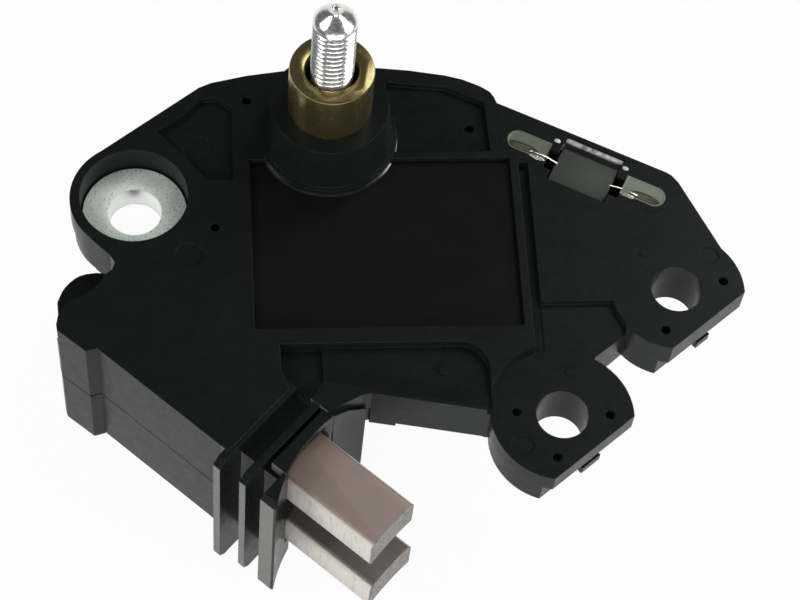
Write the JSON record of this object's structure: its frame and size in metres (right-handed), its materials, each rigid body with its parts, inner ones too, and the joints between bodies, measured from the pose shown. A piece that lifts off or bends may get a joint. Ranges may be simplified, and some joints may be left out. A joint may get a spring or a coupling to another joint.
{
  "type": "alternator voltage regulator",
  "caption": "Moulded voltage regulator of an alternator, with sprung brushes that bear on the slip rings, a supply stud and fixing ears.",
  "frame": {"origin": "axis of the steel bush in the left ear, on the mounting face under the plate", "axes": "+Z along the bush and the stud, away from the alternator's end frame; +X along the long side of the filled well; +Y away from the brushes"},
  "size_m": [0.0788, 0.0616, 0.0501],
  "materials": {
    "moulding": "glass-filled black moulding, fine matt grain",
    "bush_steel": "zinc-plated turned steel",
    "stud_steel": "zinc-plated rolled thread",
    "sleeve_brass": "turned brass, slightly dull",
    "capacitor_case": "grey moulded case, satin",
    "lead_tin": "tinned flat lead",
    "adhesive": "cured glossy bead",
    "strip_tin": "tinned stamped strip, dull",
    "contact_brass": "stamped contact strip",
    "cap_moulding": "black moulding",
    "brush_graphite": "copper graphite, ground faces, worn end",
    "spring_steel": "drawn spring wire",
    "pigtail_copper": "stranded copper shunt",
    "potting": "smooth dark filler, low sheen",
    "sink_aluminium": "milled plate",
    "substrate_ceramic": "white ceramic board",
    "chip_epoxy": "moulded epoxy",
    "diode_epoxy": "moulded epoxy"
  },
  "bodies": {
    "holder": {"housing": "moulding", "mounting_bush": "bush_steel", "terminal_stud": "stud_steel", "stud_sleeve": "sleeve_brass", "capacitor_body": "capacitor_case", "capacitor_lead_supply": "lead_tin", "capacitor_lead_earth": "lead_tin", "capacitor_adhesive": "adhesive", "lead_frame_supply": "strip_tin", "lead_frame_earth": "strip_tin", "lead_frame_bush": "strip_tin", "brush_terminal_upper": "contact_brass", "brush_terminal_lower": "contact_brass", "brush_box_cap": "cap_moulding", "brush_spring_upper": "spring_steel", "brush_spring_lower": "spring_steel", "pigtail_upper": "pigtail_copper", "pigtail_lower": "pigtail_copper", "potting_fill": "potting", "heat_sink": "sink_aluminium", "circuit_substrate": "substrate_ceramic", "regulator_chip": "chip_epoxy", "power_transistor": "chip_epoxy", "freewheel_diode": "diode_epoxy"},
    "upper_brush": {"brush_upper": "brush_graphite"},
    "lower_brush": {"brush_lower": "brush_graphite"}
  },
  "joints": [
    {"name": "brush_upper_slide", "type": "slide", "parent": "holder", "child": "upper_brush", "axis": [-0.7373, 0.6756, 0], "range_m": [0, 0.009], "stiffness_N_per_m": 300, "springref_m": -0.006, "deforming": ["brush_spring_upper", "pigtail_upper"]},
    {"name": "brush_lower_slide", "type": "slide", "parent": "holder", "child": "lower_brush", "axis": [-0.7373, 0.6756, 0], "range_m": [0, 0.009], "stiffness_N_per_m": 300, "springref_m": -0.006, "deforming": ["brush_spring_lower", "pigtail_lower"]}
  ]
}
